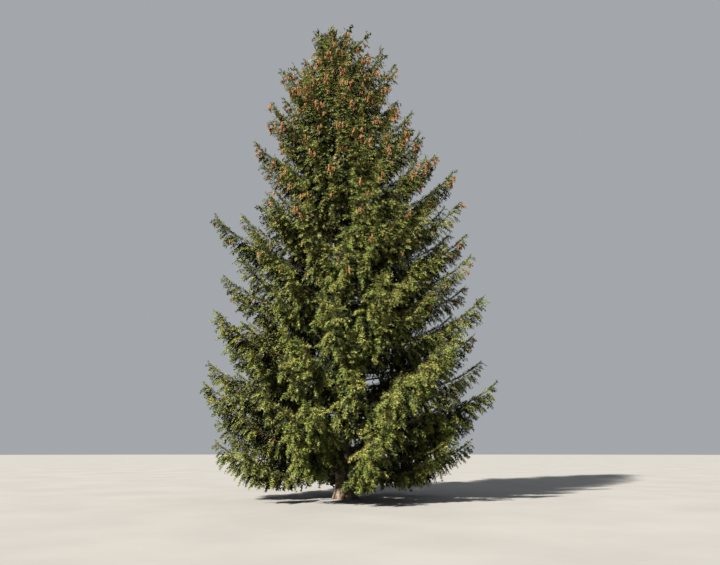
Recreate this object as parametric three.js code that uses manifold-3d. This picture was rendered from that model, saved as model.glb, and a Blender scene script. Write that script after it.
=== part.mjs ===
// A free-standing Norway spruce, 20 m tall, with the crown down to the ground.
// One whole trunk runs from the flat cut at ground level to its thin tip. Main boughs climb it in a
// spiral and bend upwards to their ends, and each carries one mass of needle foliage: a stem with a
// slim core, and side twigs that branch from it, each with its needles as one toothed spray. The
// uppermost masses meet the trunk itself, and the leader's mass stands on its tip.
// Millimetres, +Z up, +X to the right in a front view along +Y. The origin is the middle of the cut.

import * as THREE from "three";
import Module from "manifold-3d";

const wasm = await Module();
wasm.setup();

// The whole tree
const HEIGHT = 20000; // ground to the tip of the leader
const LEAN = -0.034; // sideways travel of the trunk along X for each millimetre of height
const GAP = 0.3; // clearance between neighbouring solids
const GROUND_CLEARANCE = 330; // no foliage hangs lower than this
const SEED = 19;
const SPRAY_SEED = 200; // sets the sprays' draws apart from the boughs' draws

// The trunk
const TRUNK_TOP = 19000;
const STEM_RADIUS = 278;
const STEM_TAPER = 0.9; // power of the taper, 1 for a straight cone
const TIP_RADIUS = 14;
const FLARE_RADIUS = 150; // what the root flare adds at ground level
const FLARE_HEIGHT = 420; // the height over which it fades
const FLARE_LOBES = 7;
const FLARE_LOBE_DEPTH = 0.16;
const TRUNK_RINGS = [0, 140, 330, 700, 1300, 3000, 6500, 11000, 15500, TRUNK_TOP];

// The crown's outline: how far bough tips reach from the trunk at each height
const CROWN_RADIUS = 5450;
const CROWN_POWER = 2.8;
const CROWN_ROUNDING = 0.65;
const LOW_CROWN = 3600; // below this height the crown draws in again
const LOW_CROWN_TUCK = 0.3;
const THIN_SIDE = 0.17; // the -X side reaches this share less, around THIN_HEIGHT
const THIN_HEIGHT = 12500;
const THIN_SPAN = 5200;

// The boughs
const LOWEST_TIP = 1500;
const HIGHEST_TIP = 19500;
const LOW_TIER = 5; // the first boughs stand close in height, so that they close the crown's foot
const LOW_TIER_STEP = 140;
const BOUGH_SPACING = 0.121; // height between one bough tip and the next, as a share of their reach
const LEAST_SPACING = 410;
const GOLDEN_ANGLE = 137.508;
const FIRST_AZIMUTH = 280; // degrees from +X towards +Y
const AZIMUTH_JITTER = 7;
const REACH_JITTER = 0.05;
const LOW_SLOPES = { start: -0.42, end: 0.55 }; // rise for run at the trunk and at the tip, lowest boughs
const SLOPE_GAIN = { start: 1.35, end: 0.75 }; // what the highest boughs add
const SLOPE_POWER = { start: 1.6, end: 2.2 };
const LIMB_SHARE = 0.2; // the bare part of a bough, as a share of its reach
const SMALLEST_LIMB_REACH = 4350; // shorter boughs have no bare part
const LIMB_RADIUS = 0.0098; // at the trunk, as a share of the reach
const LIMB_TAPER = 0.86; // how much of it is lost from the trunk to the tip
const COLLAR_SWELLING = 0.5; // how much thicker a bough is where it leaves the trunk
const COLLAR_LENGTH = 420;
const LIMB_SIDES = 5;
const LIMB_STATIONS = [0, 0.04, 0.09, 0.15, LIMB_SHARE];
const RING_TURN = 0.35; // of one side, so that no edge of a limb lies on the ridge of a core

// Boughs that show against the sky in a front view: azimuth, height of the tip, reach
const OUTLINE_BOUGHS = [
  { azimuth: -12, tip: 3750, reach: 5520 },
  { azimuth: -24, tip: 6600, reach: 5480 },
  { azimuth: 5, tip: 9800, reach: 5020 },
  { azimuth: -6, tip: 12200, reach: 4600 },
  { azimuth: 172, tip: 4760, reach: 5230 },
  { azimuth: 186, tip: 10300, reach: 4860 },
  { azimuth: 178, tip: 13900, reach: 3380 },
  { azimuth: 183, tip: 17250, reach: 2260 },
  { azimuth: 140, tip: 18000, reach: 1650 },
  { azimuth: 193, tip: 19200, reach: 800 },
  { azimuth: 220, tip: 16200, reach: 2400 },
  { azimuth: 274, tip: 17700, reach: 1500 },
  { azimuth: 229, tip: 10300, reach: 3700 },
];

// A mass of foliage, in shares of its bough's reach
const STEM_END = 0.5; // inside the core
const CORE_FROM = 0.22;
const CORE_TO = 0.84;
const CORE_RINGS = 5;
const CORE_HALF_WIDTH = 0.19;
const CORE_DEPTH = 0.37;
const CORE_AT_TRUNK = 0.85; // of its full size
const CORE_SWELLING = 0.6;
const CORE_NARROWING = 1.15;
const CORE_TEETH = 0.17; // how much every other ring stands out and hangs deeper
const CORE_STEP = 0.08; // a corner outside the mass's space is drawn in by this share, again and again
const LEAST_CORE = 0.2;
const SPACE_MARGIN = 0.985; // a point nearer to another mass than this share is left to neither
const OUTLINE_MARGIN = 1.02; // how far past its bough's own reach a mass may stand
const SAG_OF_SPACE = 0.2; // a mass hangs this far below its stem, for its bough's reach
const FULL_SAG = 0.36; // where on the bough it hangs that far
const SAG_LOSS = 0.6; // how much less it hangs at the tip

// Its side sprays stand in pairs along the stem: level ones, and one pair that hangs. Each row gives the
// places on the bough, the root's place on the core's section, the degrees off straight down and towards
// the tip, and the size
const SPRAY_ROWS = [
  { places: [0.36, 0.58, 0.8], foot: [0.6, -0.42], fan: 78, lean: 38, length: 0.41, width: 1.2 },
  { places: [0.66], foot: [0.5, -0.7], fan: 30, lean: 24, length: 0.42, width: 1.6 },
];
const PLACE_JITTER = 0.02;
const FAN_JITTER = 9; // degrees
const LEAN_JITTER = 8; // degrees
const LENGTH_JITTER = 0.12;
const ROOT_DEPTHS = [1, 0.6, 0.2]; // a root that doesn't fit is sunk deeper towards the stem
const TIP_SPRAY = 0.22;
const SHORTEST_SPRAY = 330; // millimetres
const SHORTENING = 0.86; // each time that a spray doesn't fit
const SHORTEST_SHARE = 0.4; // a spray that doesn't fit at this share of its length is left out
const SPRAY_THICKNESS = 0.04; // as a share of the spray's own length

// Cones, each standing for a few that hang together, under the last pair of level sprays
const CONE_PLACE = 0.8; // on the bough, as a share of its reach
const LOWEST_CONES = 8500;
const CONE_LENGTH = 330;
const CONE_RADIUS = 62;
const CONE_SIDES = 5;
const CONE_HOLD = 0.6; // how far down through the spray's thickness its stalk begins

// The leader's mass: its sprays from the lowest to the highest
const LEADER_STEM = 0.8; // where the stem ends, as a share of the way from the trunk's tip to the top
const LEADER_TAPER = 0.5;
const LEADER_SPRAYS = 7;
const LEADER_HEIGHTS = [0.04, 0.58]; // as shares of the same way
const LEADER_SPREADS = [1, 0.25]; // how far a spray leans out for its rise
const LEADER_LENGTHS = [800, 400];
const LEADER_WIDTH = 1.3;

const UP = new THREE.Vector3(0, 0, 1);
const radians = THREE.MathUtils.degToRad;
const mix = THREE.MathUtils.lerp;
const clamp = THREE.MathUtils.clamp;

// A repeatable run of numbers from -1 to 1.
function seeded(seed) {
  let state = Math.imul(seed, 2654435761) >>> 0;
  return () => {
    state = (Math.imul(state, 1664525) + 1013904223) >>> 0;
    return (state / 2 ** 32) * 2 - 1;
  };
}

// The trunk's axis and radius

function trunkCentre(height) {
  return new THREE.Vector3(LEAN * height, 0, height);
}

function trunkRadius(height) {
  const left = Math.max(0, 1 - height / TRUNK_TOP);
  return TIP_RADIUS + STEM_RADIUS * left ** STEM_TAPER + FLARE_RADIUS * Math.exp(-height / FLARE_HEIGHT);
}

// The boughs' layout: azimuth, reach and how each climbs

function crownReach(tip, azimuth) {
  const profile = (1 - (tip / HEIGHT) ** CROWN_POWER) ** CROWN_ROUNDING;
  const below = Math.max(0, 1 - tip / LOW_CROWN);
  const away = (1 - Math.cos(radians(azimuth))) / 2;
  const thin = THIN_SIDE * away * Math.exp(-(((tip - THIN_HEIGHT) / THIN_SPAN) ** 2));
  return CROWN_RADIUS * profile * (1 - LOW_CROWN_TUCK * below) * (1 - thin);
}

// The slopes at which a bough leaves the trunk and ends, by the height of its tip.
function boughSlopes(tip) {
  const share = tip / HEIGHT;
  return {
    start: LOW_SLOPES.start + SLOPE_GAIN.start * share ** SLOPE_POWER.start,
    end: LOW_SLOPES.end + SLOPE_GAIN.end * share ** SLOPE_POWER.end,
  };
}

function boughLayout() {
  const boughs = [];
  for (let tip = LOWEST_TIP; tip < HIGHEST_TIP; ) {
    const random = seeded(SEED + boughs.length);
    const azimuth = FIRST_AZIMUTH + boughs.length * GOLDEN_ANGLE + AZIMUTH_JITTER * random();
    const reach = crownReach(tip, azimuth) * (1 + REACH_JITTER * random());
    boughs.push({ azimuth, tip, reach });
    const step = Math.max(LEAST_SPACING, BOUGH_SPACING * crownReach(tip, 0));
    tip += boughs.length < LOW_TIER ? LOW_TIER_STEP : step;
  }
  for (const shown of OUTLINE_BOUGHS) {
    const apart = (b) =>
      Math.hypot(b.tip - shown.tip, 2 * b.reach * Math.sin(radians(b.azimuth - shown.azimuth) / 2));
    const free = boughs.filter((b) => !OUTLINE_BOUGHS.includes(b));
    const nearest = free.reduce((a, b) => (apart(b) < apart(a) ? b : a));
    boughs[boughs.indexOf(nearest)] = shown;
  }
  return boughs.map((b, index) => {
    const slopes = boughSlopes(b.tip);
    const root = b.tip - (b.reach * (slopes.start + slopes.end)) / 2;
    return { ...b, slopes, root, index, hasLimb: b.reach > SMALLEST_LIMB_REACH };
  });
}

function outwards(bough) {
  return new THREE.Vector3(Math.cos(radians(bough.azimuth)), Math.sin(radians(bough.azimuth)), 0);
}

// The point of a bough's axis at a share of its reach: it leaves at one slope and ends at another.
function axisPoint(bough, share) {
  const bend = (bough.slopes.end - bough.slopes.start) / 2;
  const rise = bough.reach * (bough.slopes.start * share + bend * share * share);
  return trunkCentre(bough.root)
    .addScaledVector(outwards(bough), bough.reach * share)
    .addScaledVector(UP, rise);
}

function axisDirection(bough, share) {
  const slope = mix(bough.slopes.start, bough.slopes.end, share);
  return outwards(bough).addScaledVector(UP, slope).normalize();
}

function limbRadius(bough, share) {
  return bough.reach * LIMB_RADIUS * (1 - LIMB_TAPER * share);
}

// Solids from rings and outlines

function solid(points, faces) {
  const vertProperties = new Float32Array(points.flatMap((p) => p.toArray()));
  const triVerts = new Uint32Array(faces.flat());
  return new wasm.Manifold(new wasm.Mesh({ numProp: 3, vertProperties, triVerts }));
}

// A closed skin over rings of equal count, each counterclockwise about the way the rings run.
function loft(rings) {
  const sides = rings[0].length;
  const faces = [];
  for (let ring = 0; ring < rings.length - 1; ring++) {
    for (let side = 0; side < sides; side++) {
      const a = ring * sides + side;
      const b = ring * sides + ((side + 1) % sides);
      faces.push([a, b, b + sides], [a, b + sides, a + sides]);
    }
  }
  const last = (rings.length - 1) * sides;
  for (let side = 2; side < sides; side++) {
    faces.push([0, side, side - 1], [last, last + side - 1, last + side]);
  }
  return solid(rings.flat(), faces);
}

// Points around a centre, in the plane across a direction, from (sideways, upwards) pairs.
function ringAcross(centre, direction, pairs) {
  const sideways = new THREE.Vector3().crossVectors(UP, direction).normalize();
  const upwards = new THREE.Vector3().crossVectors(direction, sideways);
  return pairs.map(([side, up]) =>
    centre.clone().addScaledVector(sideways, side).addScaledVector(upwards, up),
  );
}

// (sideways, upwards) pairs of a circle.
function roundPairs(radius, sides) {
  return Array.from({ length: sides }, (_, i) => {
    const angle = ((i + RING_TURN) / sides) * 2 * Math.PI;
    return [radius * Math.cos(angle), radius * Math.sin(angle)];
  });
}

// A level ring around a centre, counterclockwise from above, its radius given for each angle.
function levelRing(centre, sides, radiusAt) {
  return Array.from({ length: sides }, (_, i) => {
    const angle = (i / sides) * 2 * Math.PI;
    const radius = radiusAt(angle);
    return centre.clone().add(new THREE.Vector3(radius * Math.cos(angle), radius * Math.sin(angle), 0));
  });
}

// A tapering round limb through stations of { at, along, radius }.
function limb(stations, sides) {
  return loft(stations.map((s) => ringAcross(s.at, s.along, roundPairs(s.radius, sides))));
}

// The trunk, with the ridges of its root flare. A larger copy clears the space around it.
function trunkSolid(clearance = 0) {
  const rings = TRUNK_RINGS.map((height) => {
    const fade = Math.exp(-height / FLARE_HEIGHT);
    const lobe = (angle) => 1 + FLARE_LOBE_DEPTH * fade * Math.cos(FLARE_LOBES * angle);
    const radiusAt = (angle) => trunkRadius(height) * lobe(angle) + clearance;
    return levelRing(trunkCentre(height), 2 * FLARE_LOBES, radiusAt);
  });
  return loft(rings);
}

// The bare part of a bough, from inside the trunk to where its foliage begins, cut clear of the trunk.
function limbSolid(bough, trunkSpace) {
  const stations = LIMB_STATIONS.map((share) => {
    const collar = 1 + COLLAR_SWELLING * Math.exp(-(((bough.reach * share) / COLLAR_LENGTH) ** 2));
    const radius = limbRadius(bough, share) * collar;
    return { at: axisPoint(bough, share), along: axisDirection(bough, share), radius };
  });
  return limb(stations, LIMB_SIDES).subtract(trunkSpace);
}

// Which mass a point belongs to: the one whose hanging stem is nearest for its size

const SPINE_SHARES = [0.04, 0.2, 0.36, 0.52, 0.68, 0.84, 1];

function spineOf(bough) {
  return SPINE_SHARES.map((share) => {
    const sag = bough.reach * SAG_OF_SPACE * clamp(share / FULL_SAG, 0, 1) * (1 - SAG_LOSS * share);
    return axisPoint(bough, share).addScaledVector(UP, -sag);
  });
}

function distanceToSpine(point, spine) {
  const nearest = new THREE.Vector3();
  const line = new THREE.Line3();
  const distances = spine.slice(1).map((end, i) => {
    line.set(spine[i], end).closestPointToPoint(point, true, nearest);
    return nearest.distanceTo(point);
  });
  return Math.min(...distances);
}

function ownsPoint(owner, point, all) {
  const mine = distanceToSpine(point, owner.spine) / owner.reach;
  return all.every((b) => b === owner || mine < (SPACE_MARGIN * distanceToSpine(point, b.spine)) / b.reach);
}

// The parts of a mass

// The core's size along the stem: blunt towards the trunk, fullest before the middle, slim at its end.
function coreSize(share) {
  const along = (share - CORE_FROM) / (CORE_TO - CORE_FROM);
  return CORE_AT_TRUNK + CORE_SWELLING * along - CORE_NARROWING * along * along;
}

// The core's section: a ridge along the top, two drooping flanks and a keel.
const CORE_SECTION = [
  [0, 0.1],
  [-1, -0.6],
  [0, -1],
  [1, -0.6],
];

function coreSolid(bough, all) {
  const rings = Array.from({ length: CORE_RINGS }, (_, i) => {
    const share = mix(CORE_FROM, CORE_TO, i / (CORE_RINGS - 1));
    const centre = axisPoint(bough, share);
    const tooth = 1 + (i % 2 ? CORE_TEETH : -CORE_TEETH);
    const size = coreSize(share) * tooth * bough.reach;
    const pairs = CORE_SECTION.map(([side, up]) => [side * CORE_HALF_WIDTH * size, up * CORE_DEPTH * size]);
    return ringAcross(centre, axisDirection(bough, share), pairs).map((point) => {
      for (let part = 1; part > LEAST_CORE; part -= CORE_STEP) {
        const drawn = centre.clone().lerp(point, part);
        if (ownsPoint(bough, drawn, all) && drawn.z > GROUND_CLEARANCE) return drawn;
      }
      return centre.clone().lerp(point, LEAST_CORE);
    });
  });
  return loft(rings);
}

// A spray of needles: a toothed blade whose flanks hang from its ridge. Each point of the outline is a
// place along the spray, a place across it and a height, in shares of its length.
const SPRAY_FLANK = [
  [0.28, 0.21, -0.07],
  [0.41, 0.09, -0.03],
  [0.66, 0.16, -0.08],
];
const SPRAY_RIM = [
  [0, 0, 0],
  ...SPRAY_FLANK,
  [1, 0, -0.06],
  ...SPRAY_FLANK.map(([x, y, z]) => [x, -y, z]).reverse(),
];
const SPRAY_MIDDLE = 0.45;

function sprayPoints({ root, along, facing, length, width = 1 }) {
  const forward = along.clone().normalize();
  const side = new THREE.Vector3().crossVectors(facing, forward).normalize();
  const normal = new THREE.Vector3().crossVectors(forward, side);
  const place = ([x, y, z]) =>
    root
      .clone()
      .addScaledVector(forward, x * length)
      .addScaledVector(side, y * width * length)
      .addScaledVector(normal, z * length);
  const ridge = [SPRAY_THICKNESS / 2, -SPRAY_THICKNESS / 2].map((z) => [SPRAY_MIDDLE, 0, z]);
  return [...SPRAY_RIM, ...ridge].map(place);
}

function spraySolid(points) {
  const count = SPRAY_RIM.length;
  const faces = [];
  for (let i = 0; i < count; i++) {
    const next = (i + 1) % count;
    faces.push([i, count, next], [next, count + 1, i]);
  }
  return solid(points, faces);
}

// A hanging cone, thickest below its stalk, from its lower end up.
const CONE_RINGS = [
  { drop: 1, width: 0.15 },
  { drop: 0.4, width: 1 },
  { drop: 0, width: 0.25 },
];

function coneRings(top) {
  return CONE_RINGS.map(({ drop, width }) =>
    levelRing(top.clone().addScaledVector(UP, -drop * CONE_LENGTH), CONE_SIDES, () => CONE_RADIUS * width),
  );
}

// The sprays of a mass, pair by pair, each rooted between the stem and the core's surface.
function spraysOf(bough) {
  const random = seeded(SEED + SPRAY_SEED + bough.index);
  const out = outwards(bough);
  const sideways = new THREE.Vector3().crossVectors(UP, out);
  const sprays = [];
  for (const row of SPRAY_ROWS) {
    for (const place of row.places) {
      for (const side of [-1, 1]) {
        const share = place + PLACE_JITTER * random();
        const core = coreSize(share) * bough.reach;
        const turn = radians(side * row.fan + FAN_JITTER * random());
        const lean = radians(row.lean + LEAN_JITTER * random());
        const foot = sideways
          .clone()
          .multiplyScalar(side * row.foot[0] * CORE_HALF_WIDTH * core)
          .addScaledVector(UP, row.foot[1] * CORE_DEPTH * core);
        const along = sideways
          .clone()
          .multiplyScalar(Math.sin(turn))
          .addScaledVector(UP, -Math.cos(turn))
          .multiplyScalar(Math.cos(lean))
          .addScaledVector(axisDirection(bough, share), Math.sin(lean));
        const facing = UP.clone()
          .multiplyScalar(Math.abs(Math.sin(turn)))
          .addScaledVector(out, Math.cos(turn));
        const size = bough.reach * row.length * (1 + LENGTH_JITTER * random());
        sprays.push({
          stem: axisPoint(bough, share),
          foot,
          along,
          facing,
          length: Math.max(SHORTEST_SPRAY, size),
          width: row.width,
          bearsCone: place === CONE_PLACE && side > 0 && bough.tip > LOWEST_CONES,
        });
      }
    }
  }
  return sprays;
}

// The spray that carries the bough's own tip: it ends exactly at the bough's reach.
function tipSpray(bough) {
  const length = Math.max(SHORTEST_SPRAY, bough.reach * TIP_SPRAY);
  const along = axisDirection(bough, 1);
  const root = axisPoint(bough, 1).addScaledVector(along, -length);
  return { stem: root, foot: new THREE.Vector3(), along, facing: UP, length, width: 1 };
}

function largestBody(made) {
  return made.decompose().reduce((a, b) => (b.volume() > a.volume() ? b : a));
}

// A mass: stem and core, then each spray and cone that keeps to its space and touches no limb.
function massSolid(bough, all, limbs, trunkSpace) {
  const inReach = (p) => Math.hypot(p.x - LEAN * p.z, p.y) < OUTLINE_MARGIN * bough.reach;
  const allowed = (points) =>
    points.every((p) => p.z > GROUND_CLEARANCE && inReach(p) && ownsPoint(bough, p, all));
  const touches = (piece) => limbs.some((other) => other.intersect(piece).volume() > 0);

  const joint = bough.hasLimb ? GAP : 0;
  const stemShares = bough.hasLimb ? [LIMB_SHARE, STEM_END] : [0, CORE_FROM, STEM_END];
  const stem = limb(
    stemShares.map((share, i) => ({
      at: axisPoint(bough, share).addScaledVector(axisDirection(bough, share), i === 0 ? joint : 0),
      along: axisDirection(bough, share),
      radius: limbRadius(bough, share),
    })),
    bough.hasLimb ? LIMB_SIDES : 3,
  );
  let mass = stem.add(coreSolid(bough, all));

  // Adds a spray, shortened and sunk deeper until it fits, and gives the middle of its ridge.
  const addSpray = (spray) => {
    for (let share = 1; share > SHORTEST_SHARE; share *= SHORTENING) {
      for (const depth of ROOT_DEPTHS) {
        const root = spray.stem.clone().addScaledVector(spray.foot, depth);
        const points = sprayPoints({ ...spray, root, length: share * spray.length });
        if (!allowed(points)) continue;
        const piece = spraySolid(points);
        if (touches(piece) || mass.intersect(piece).isEmpty()) continue;
        mass = mass.add(piece);
        return points[SPRAY_RIM.length].lerp(points[SPRAY_RIM.length + 1], CONE_HOLD);
      }
    }
    return undefined;
  };
  spraysOf(bough).forEach((spray) => {
    const middle = addSpray(spray);
    if (!spray.bearsCone || !middle) return;
    const rings = coneRings(middle);
    const cone = loft(rings);
    if (allowed(rings.flat()) && !touches(cone)) mass = mass.add(cone);
  });
  addSpray(tipSpray(bough));
  return largestBody(bough.hasLimb ? mass : mass.subtract(trunkSpace));
}

// The leader's mass: a stem on the trunk's tip, with sprays that stand up around it and one at the top.
function leaderSolid(others) {
  const foot = trunkCentre(TRUNK_TOP + GAP);
  const top = trunkCentre(HEIGHT);
  const ring = (share, radius) => levelRing(foot.clone().lerp(top, share), 2 * FLARE_LOBES, () => radius);
  let mass = loft([ring(0, TIP_RADIUS), ring(LEADER_STEM, LEADER_TAPER * TIP_RADIUS)]);
  for (let i = 0; i < LEADER_SPRAYS; i++) {
    const upward = i / LEADER_SPRAYS;
    const facing = outwards({ azimuth: FIRST_AZIMUTH + i * GOLDEN_ANGLE });
    const along = facing.clone().multiplyScalar(mix(...LEADER_SPREADS, upward)).add(UP);
    const root = foot.clone().lerp(top, mix(...LEADER_HEIGHTS, upward));
    const length = mix(...LEADER_LENGTHS, upward);
    const piece = spraySolid(sprayPoints({ root, along, facing, length, width: LEADER_WIDTH }));
    if (!others.some((other) => other.intersect(piece).volume() > 0)) mass = mass.add(piece);
  }
  const along = top.clone().sub(foot).normalize();
  const length = LEADER_LENGTHS[1];
  const root = top.clone().addScaledVector(along, -length);
  return mass.add(spraySolid(sprayPoints({ root, along, facing: outwards({ azimuth: -90 }), length })));
}

// The materials and the tree

const bark = new THREE.MeshStandardMaterial({ color: 0x6a5a4c, roughness: 0.95, metalness: 0 });
const needles = new THREE.MeshStandardMaterial({ color: 0x46552c, roughness: 0.85, metalness: 0 });

function meshOf(name, made, material) {
  const { vertProperties, triVerts } = made.getMesh();
  const geometry = new THREE.BufferGeometry();
  geometry.setAttribute("position", new THREE.BufferAttribute(vertProperties, 3));
  geometry.setIndex(new THREE.BufferAttribute(triVerts, 1));
  geometry.computeVertexNormals();
  const mesh = new THREE.Mesh(geometry, material);
  mesh.name = name;
  return mesh;
}

const tree = new THREE.Group();
const trunkSpace = trunkSolid(GAP);
const boughs = boughLayout().map((bough) => ({ ...bough, spine: spineOf(bough) }));
const number = (bough) => String(bough.index + 1).padStart(2, "0");

tree.add(meshOf("trunk", trunkSolid(), bark));
const limbs = boughs
  .filter((bough) => bough.hasLimb)
  .map((bough) => {
    const made = limbSolid(bough, trunkSpace);
    tree.add(meshOf("bough_" + number(bough), made, bark));
    return made;
  });
const masses = boughs.map((bough) => {
  const made = massSolid(bough, boughs, [trunkSpace, ...limbs], trunkSpace);
  tree.add(meshOf("foliage_" + number(bough), made, needles));
  return made;
});
tree.add(meshOf("foliage_leader", leaderSolid([trunkSpace, ...masses]), needles));

export default tree;
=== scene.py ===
"""The looks of a free-standing spruce, 20 m tall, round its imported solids.

The boughs, their side twigs and the sprays of needles grow by the same rule as the solids, carried on to
finer twigs. Metres, +Z up, the origin in the middle of the trunk's flat cut, the front view along +Y.
"""

import math
from dataclasses import dataclass, fields

import bpy
import numpy as np
from mathutils.kdtree import KDTree
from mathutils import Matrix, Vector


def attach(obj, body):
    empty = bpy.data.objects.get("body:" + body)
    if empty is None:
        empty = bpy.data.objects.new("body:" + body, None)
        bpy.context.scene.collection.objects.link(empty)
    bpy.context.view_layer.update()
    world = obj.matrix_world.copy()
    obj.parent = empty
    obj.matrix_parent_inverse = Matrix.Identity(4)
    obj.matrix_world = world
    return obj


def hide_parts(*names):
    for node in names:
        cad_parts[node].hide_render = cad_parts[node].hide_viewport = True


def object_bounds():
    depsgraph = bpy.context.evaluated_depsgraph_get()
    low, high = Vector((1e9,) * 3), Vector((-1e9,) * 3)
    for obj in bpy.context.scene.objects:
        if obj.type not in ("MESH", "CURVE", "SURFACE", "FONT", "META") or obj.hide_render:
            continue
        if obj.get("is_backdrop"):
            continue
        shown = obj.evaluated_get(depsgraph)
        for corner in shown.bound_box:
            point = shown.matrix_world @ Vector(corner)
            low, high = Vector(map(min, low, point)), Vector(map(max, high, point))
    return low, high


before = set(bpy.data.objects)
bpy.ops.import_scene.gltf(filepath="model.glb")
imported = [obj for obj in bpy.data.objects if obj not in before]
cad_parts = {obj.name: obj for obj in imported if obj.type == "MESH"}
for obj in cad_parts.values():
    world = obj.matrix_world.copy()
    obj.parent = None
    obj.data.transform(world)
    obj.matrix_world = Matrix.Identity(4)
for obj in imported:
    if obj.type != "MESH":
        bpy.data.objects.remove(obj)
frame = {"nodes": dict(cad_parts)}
cad_low, cad_high = (np.array(corner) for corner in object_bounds())

# The tree as in the solids
HEIGHT = 20.0
LEAN = -0.034  # sideways travel of the trunk along X for each metre of height
GROUND_CLEARANCE = 0.33
SEED = 19
TRUNK_TOP = 19.0
STEM_RADIUS = 0.278
STEM_TAPER = 0.9  # power of the taper, 1 for a straight cone
TIP_RADIUS = 0.014
FLARE_RADIUS = 0.15  # what the root flare adds at ground level
FLARE_HEIGHT = 0.42  # the height over which it fades
FLARE_LOBES = 7
FLARE_LOBE_DEPTH = 0.16
CROWN_RADIUS = 5.45
CROWN_POWER = 2.8
CROWN_ROUNDING = 0.65
LOW_CROWN = 3.6  # below this height the crown draws in again
LOW_CROWN_TUCK = 0.3
THIN_SIDE = 0.17  # the -X side reaches this share less, around THIN_HEIGHT
THIN_HEIGHT = 12.5
THIN_SPAN = 5.2
LOWEST_TIP = 1.5
HIGHEST_TIP = 19.5
LOW_TIER = 5  # the first boughs stand close in height, so that they close the crown's foot
LOW_TIER_STEP = 0.14
BOUGH_SPACING = 0.121  # height between one bough tip and the next, as a share of their reach
LEAST_SPACING = 0.41
GOLDEN_ANGLE = 137.508
FIRST_AZIMUTH = 280  # degrees from +X towards +Y
AZIMUTH_JITTER = 7
REACH_JITTER = 0.05
LOW_SLOPES = (-0.42, 0.55)  # rise for run at the trunk and at the tip, lowest boughs
SLOPE_GAIN = (1.35, 0.75)  # what the highest boughs add
SLOPE_POWER = (1.6, 2.2)
LIMB_RADIUS = 0.0098  # at the trunk, as a share of the reach
LIMB_TAPER = 0.86  # how much of it is lost from the trunk to the tip
COLLAR_SWELLING = 0.5  # how much thicker a bough is where it leaves the trunk
COLLAR_LENGTH = 0.42

# Boughs that show against the sky in a front view: azimuth, height of the tip, reach
OUTLINE_BOUGHS = [
    (-12, 3.75, 5.52),
    (-24, 6.60, 5.48),
    (5, 9.80, 5.02),
    (-6, 12.20, 4.60),
    (172, 4.76, 5.23),
    (186, 10.30, 4.86),
    (178, 13.90, 3.38),
    (183, 17.25, 2.26),
    (140, 18.00, 1.65),
    (193, 19.20, 0.80),
    (220, 16.20, 2.40),
    (274, 17.70, 1.50),
    (229, 10.30, 3.70),
]

# Boughs that the solids leave out. Some show against the sky too: azimuth, height of the tip, reach
EDGE_BOUGHS = [
    (20, 19.85, 0.75),
    (5, 19.45, 1.4),
    (150, 19.4, 0.45),
    (8, 18.4, 2.0),
    (-4, 17.3, 2.5),
    (12, 16.4, 2.65),
    (4, 15.6, 3.15),
    (6, 14.4, 3.55),
    (-2, 13.4, 4.0),
    (14, 11.5, 4.5),
    (-12, 10.9, 4.8),
    (-8, 8.8, 5.05),
    (10, 8.0, 5.05),
    (6, 5.9, 5.1),
    (-4, 4.75, 5.1),
    (9, 3.0, 5.0),
    (-6, 1.9, 4.5),
    (172, 19.4, 0.6),
    (186, 17.9, 1.2),
    (172, 15.7, 2.5),
    (187, 14.8, 2.7),
    (181, 13.0, 3.05),
    (174, 11.3, 3.2),
    (189, 10.5, 3.8),
    (174, 9.7, 3.8),
    (184, 8.1, 4.45),
    (176, 6.5, 4.7),
    (188, 5.5, 4.2),
    (182, 4.0, 5.1),
    (190, 3.4, 4.7),
    (184, 2.6, 4.5),
    (178, 1.5, 4.2),
    (283, 2.1, 4.3),
    (262, 2.9, 4.6),
    (276, 3.9, 4.8),
    (257, 4.8, 4.9),
    (270, 5.9, 5.0),
    (287, 6.9, 5.0),
    (186, 17.6, 1.75),
    (180, 16.1, 2.15),
]

# Boughs that cover the trunk where the back would show it: azimuth, height of the tip, reach
BACK_BOUGHS = [
    (136, 3.2, 4.6),
    (127, 4.8, 4.7),
    (143, 6.3, 4.5),
    (133, 7.9, 4.2),
]

# How deep the notches between the tips at the edge are, from the top down: height, reach towards +X and
# reach towards -X
NOTCHES = [
    (19.6, 0.3, 0.25),
    (18.9, 0.95, 0.5),
    (17.9, 1.5, 0.9),
    (16.8, 1.95, 1.55),
    (15.2, 2.6, 2.2),
    (13.2, 3.6, 2.6),
    (12.2, 3.9, 2.5),
    (10.3, 4.2, 3.1),
    (8.0, 4.5, 3.7),
    (5.5, 4.6, 4.0),
    (3.5, 4.6, 4.4),
    (1.2, 3.9, 3.7),
]

# Short boughs that fill the crown between the main ones
INFILL_LOWEST = 1.25
INFILL_HIGHEST = 19.3
INFILL_SPACING = 0.018  # height from one tip to the next, as a share of the crown's reach there
INFILL_LEAST_SPACING = 0.04
INFILL_STEPS = (0.7, 1.3)  # of that spacing, least and most
INFILL_AZIMUTH = 37
INFILL_AZIMUTH_JITTER = 8
INFILL_REACH = (0.92, 1.06)  # of the notches' reach
INFILL_GIRTH = 0.8  # of a main bough's
LONG_INFILL = 4  # one in this many reaches as far as the main boughs
LONG_INFILL_REACH = (0.94, 1.0)  # of the crown's reach
LONG_INFILL_HIGHEST = 15.5
EDGE_COSINE = 0.8  # no long infill bough points further towards +X or -X than this

# A bough's line
HOOK = (0.02, 0.1)  # how far a bough's end turns up, as a share of its reach: lowest, highest boughs
HOOK_FROM = 0.85  # where on the bough that begins
WANDER = 0.014  # how far a bough swings sideways, as a share of its reach
WANDER_TURN = 5  # radians of that swing's wave along the bough, and for each radian of its azimuth

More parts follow.
